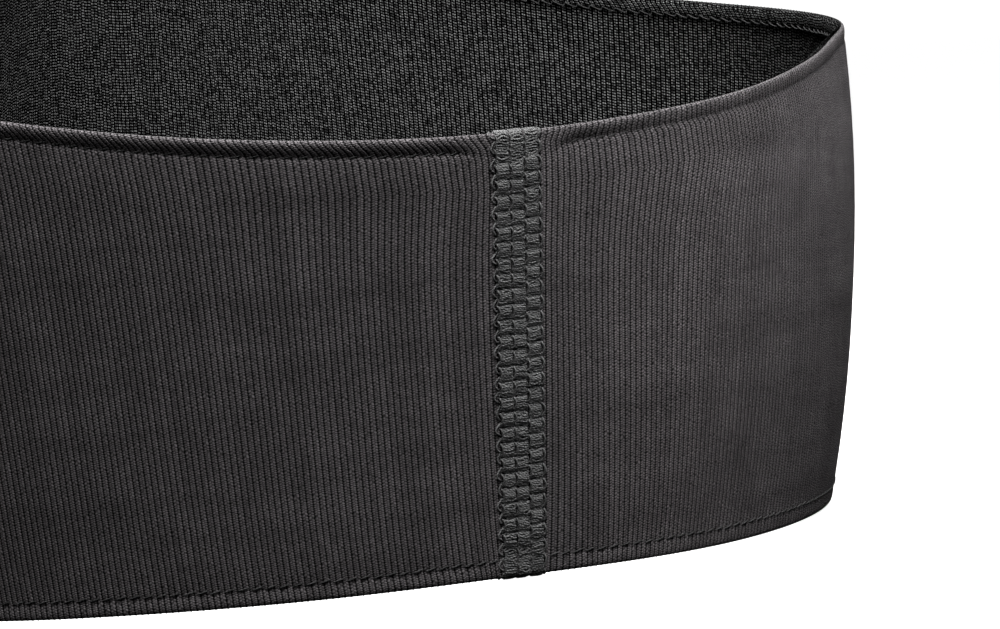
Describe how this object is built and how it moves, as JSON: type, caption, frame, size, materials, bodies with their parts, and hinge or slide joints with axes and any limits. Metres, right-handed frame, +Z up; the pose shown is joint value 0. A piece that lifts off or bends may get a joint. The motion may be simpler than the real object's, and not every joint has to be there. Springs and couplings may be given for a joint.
{
  "type": "sports headband",
  "caption": "Tapered stretch-knit headband ring, wide in front and narrow at the flatlock seam behind, with narrow turned hems.",
  "frame": {"origin": "centre of the band's box in plan, on the plane that its lower edge stands on", "axes": "+Z up, from the lower edge to the upper rim; the seam at the back of the head is at -Y, the wide front is at +Y, and +X is to the right of an onlooker who faces the seam"},
  "size_m": [0.1779, 0.1618, 0.0962],
  "materials": {
    "knit": "matte rib knit, charcoal, with a dotted technical back inside",
    "seam_thread": "matte textured polyester overlock yarn, dark grey",
    "hem_thread": "matte textured polyester yarn, dark grey"
  },
  "bodies": {
    "root": {"band_panel": "knit", "flatlock_needle_thread_1": "seam_thread", "flatlock_needle_thread_2": "seam_thread", "flatlock_needle_thread_3": "seam_thread", "flatlock_needle_thread_4": "seam_thread", "flatlock_cover_thread": "seam_thread", "flatlock_looper_thread": "seam_thread", "top_hem_needle_thread": "hem_thread", "top_hem_looper_thread": "hem_thread", "bottom_hem_needle_thread": "hem_thread", "bottom_hem_looper_thread": "hem_thread"}
  },
  "joints": []
}
